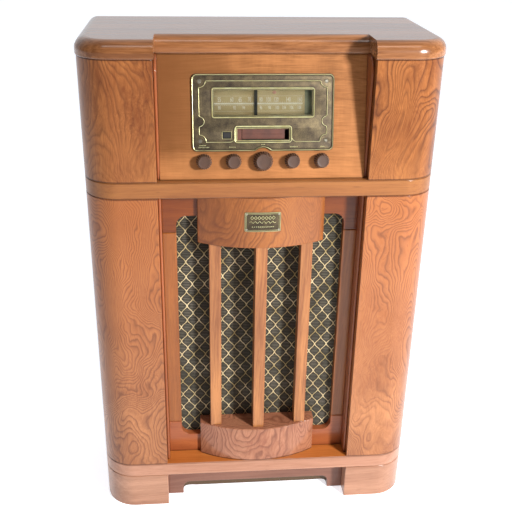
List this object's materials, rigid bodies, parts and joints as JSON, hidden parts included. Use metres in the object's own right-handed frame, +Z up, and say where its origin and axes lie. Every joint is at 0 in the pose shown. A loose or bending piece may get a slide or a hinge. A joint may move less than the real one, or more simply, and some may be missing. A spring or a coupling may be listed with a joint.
{
  "type": "console radio",
  "caption": "Floor-standing wooden console radio: sloping dial panel with knobs and a tape slot above a cloth grille with three upright bars between bowed blocks.",
  "frame": {"origin": "on the floor under the middle of the cabinet's plan", "axes": "+X to the right across the front as the listener sees it, -Y out of the front towards the listener, +Z up"},
  "size_m": [0.614, 0.27, 0.924],
  "materials": {
    "burl_veneer": "burl veneer, satin lacquer",
    "plain_wood": "straight-grained veneer, satin lacquer",
    "unfinished_board": "bare board",
    "hardboard": "smooth hardboard",
    "grille_cloth": "woven cloth with a gold lattice",
    "antique_brass": "darkened brass with polished edges",
    "fasteners": "plated screws and pins",
    "black_steel": "blackened",
    "brown_bakelite": "moulded, satin",
    "turned_steel": "turned",
    "clear_plastic": "clear",
    "dial_print": "printed scale",
    "pointer_paint": "dark paint",
    "lamp_glass": "warm bulb",
    "plated_steel": "zinc plated sheet",
    "aluminium": "bare",
    "white_plastic": "moulded",
    "waxed_cord": "waxed cord",
    "circuit_board": "lacquered board",
    "core_steel": "varnished laminations",
    "flap_plastic": "moulded, satin",
    "black_plastic": "moulded",
    "cone_paper": "pressed paper",
    "ferrite": "sintered ring magnet"
  },
  "bodies": {
    "cabinet": {"apron_backing": "unfinished_board", "baffle_board": "unfinished_board", "base_board": "plain_wood", "brass_fasteners": "fasteners", "capacitor_frame": "aluminium", "chassis": "plated_steel", "cheek_liners": "plain_wood", "dial_bezel": "antique_brass", "dial_cord": "waxed_cord", "dial_glass": "clear_plastic", "dial_lamps": "lamp_glass", "dial_scale": "dial_print", "dial_tray": "plated_steel", "frame_bottom_rail": "plain_wood", "frame_stiles": "plain_wood", "frame_top_rail": "plain_wood", "front_apron": "plain_wood", "grille_bars": "plain_wood", "grille_cloth": "grille_cloth", "instrument_panel": "plain_wood", "left_foot": "plain_wood", "lower_bow": "burl_veneer", "lower_left_side": "burl_veneer", "lower_right_side": "burl_veneer", "main_board": "circuit_board", "mains_inlet": "black_plastic", "name_plate": "antique_brass", "panel_controls": "plated_steel", "power_transformer": "core_steel", "rear_cleats": "unfinished_board", "rear_cover": "hardboard", "rear_cover_screws": "black_steel", "rear_rail": "unfinished_board", "right_foot": "plain_wood", "speaker_basket": "plated_steel", "speaker_magnet": "ferrite", "tape_deck": "plated_steel", "top_board": "plain_wood", "upper_bow": "burl_veneer", "upper_left_side": "burl_veneer", "upper_right_side": "burl_veneer", "waist_board": "plain_wood"},
    "volume": {"volume_knob": "brown_bakelite", "volume_shaft": "turned_steel"},
    "tone": {"tone_knob": "brown_bakelite", "tone_shaft": "turned_steel"},
    "band": {"band_knob": "brown_bakelite", "band_shaft": "turned_steel"},
    "function": {"function_knob": "brown_bakelite", "function_shaft": "turned_steel"},
    "tuning": {"tuning_knob": "brown_bakelite", "tuning_shaft": "turned_steel"},
    "drum": {"dial_drum": "white_plastic", "capacitor_rotor": "aluminium"},
    "left_pulley": {"left_dial_pulley": "white_plastic"},
    "right_pulley": {"right_dial_pulley": "white_plastic"},
    "pointer": {"dial_pointer": "pointer_paint"},
    "flap": {"tape_flap": "flap_plastic"},
    "eject": {"eject_button": "black_plastic"},
    "cone": {"speaker_cone": "cone_paper"}
  },
  "joints": [
    {"name": "volume_turn", "type": "hinge", "parent": "cabinet", "child": "volume", "pos_m": [-0.1, -0.11467, 0.72176], "axis": [0, 0.9795, -0.2017], "range_deg": [0, 300]},
    {"name": "tone_turn", "type": "hinge", "parent": "cabinet", "child": "tone", "pos_m": [-0.05, -0.11467, 0.72176], "axis": [0, 0.9795, -0.2017], "range_deg": [-150, 150]},
    {"name": "tuning_turn", "type": "hinge", "parent": "cabinet", "child": "tuning", "pos_m": [0, -0.11467, 0.72176], "axis": [0, 0.9795, -0.2017], "range_deg": [-618, 893]},
    {"name": "band_turn", "type": "hinge", "parent": "cabinet", "child": "band", "pos_m": [0.05, -0.11467, 0.72176], "axis": [0, 0.9795, -0.2017], "range_deg": [0, 30]},
    {"name": "function_turn", "type": "hinge", "parent": "cabinet", "child": "function", "pos_m": [0.1, -0.11467, 0.72176], "axis": [0, 0.9795, -0.2017], "range_deg": [-30, 30]},
    {"name": "drum_turn", "type": "hinge", "parent": "cabinet", "child": "drum", "pos_m": [0.1, -0.0839, 0.76708], "axis": [0, 0.9795, -0.2017], "range_deg": [-107, 74]},
    {"name": "left_pulley_turn", "type": "hinge", "parent": "cabinet", "child": "left_pulley", "pos_m": [-0.088, -0.07018, 0.83368], "axis": [0, 0.9795, -0.2017], "range_deg": [-516, 745]},
    {"name": "right_pulley_turn", "type": "hinge", "parent": "cabinet", "child": "right_pulley", "pos_m": [0.088, -0.07018, 0.83368], "axis": [0, 0.9795, -0.2017], "range_deg": [-516, 745]},
    {"name": "pointer_slide", "type": "slide", "parent": "cabinet", "child": "pointer", "axis": [1, 0, 0], "range_m": [-0.054, 0.078]},
    {"name": "flap_swing", "type": "hinge", "parent": "cabinet", "child": "flap", "pos_m": [0.0008, -0.10037, 0.77333], "axis": [1, 0, 0], "range_deg": [0, 80], "stiffness_Nm_per_rad": 0.003, "springref_deg": -20.05},
    {"name": "eject_press", "type": "slide", "parent": "cabinet", "child": "eject", "axis": [0, 0.9795, -0.2017], "range_m": [0, 0.004], "stiffness_N_per_m": 150, "springref_m": -0.002},
    {"name": "cone_travel", "type": "slide", "parent": "cabinet", "child": "cone", "axis": [0, 1, 0], "range_m": [-0.002, 0.002], "stiffness_N_per_m": 2000}
  ],
  "couplings": [
    {"joint": "pointer_slide", "follows": "tuning_turn", "m_per_rad": 0.005},
    {"joint": "left_pulley_turn", "follows": "tuning_turn", "ratio": 0.83333},
    {"joint": "right_pulley_turn", "follows": "tuning_turn", "ratio": 0.83333},
    {"joint": "drum_turn", "follows": "tuning_turn", "ratio": -0.11905}
  ]
}
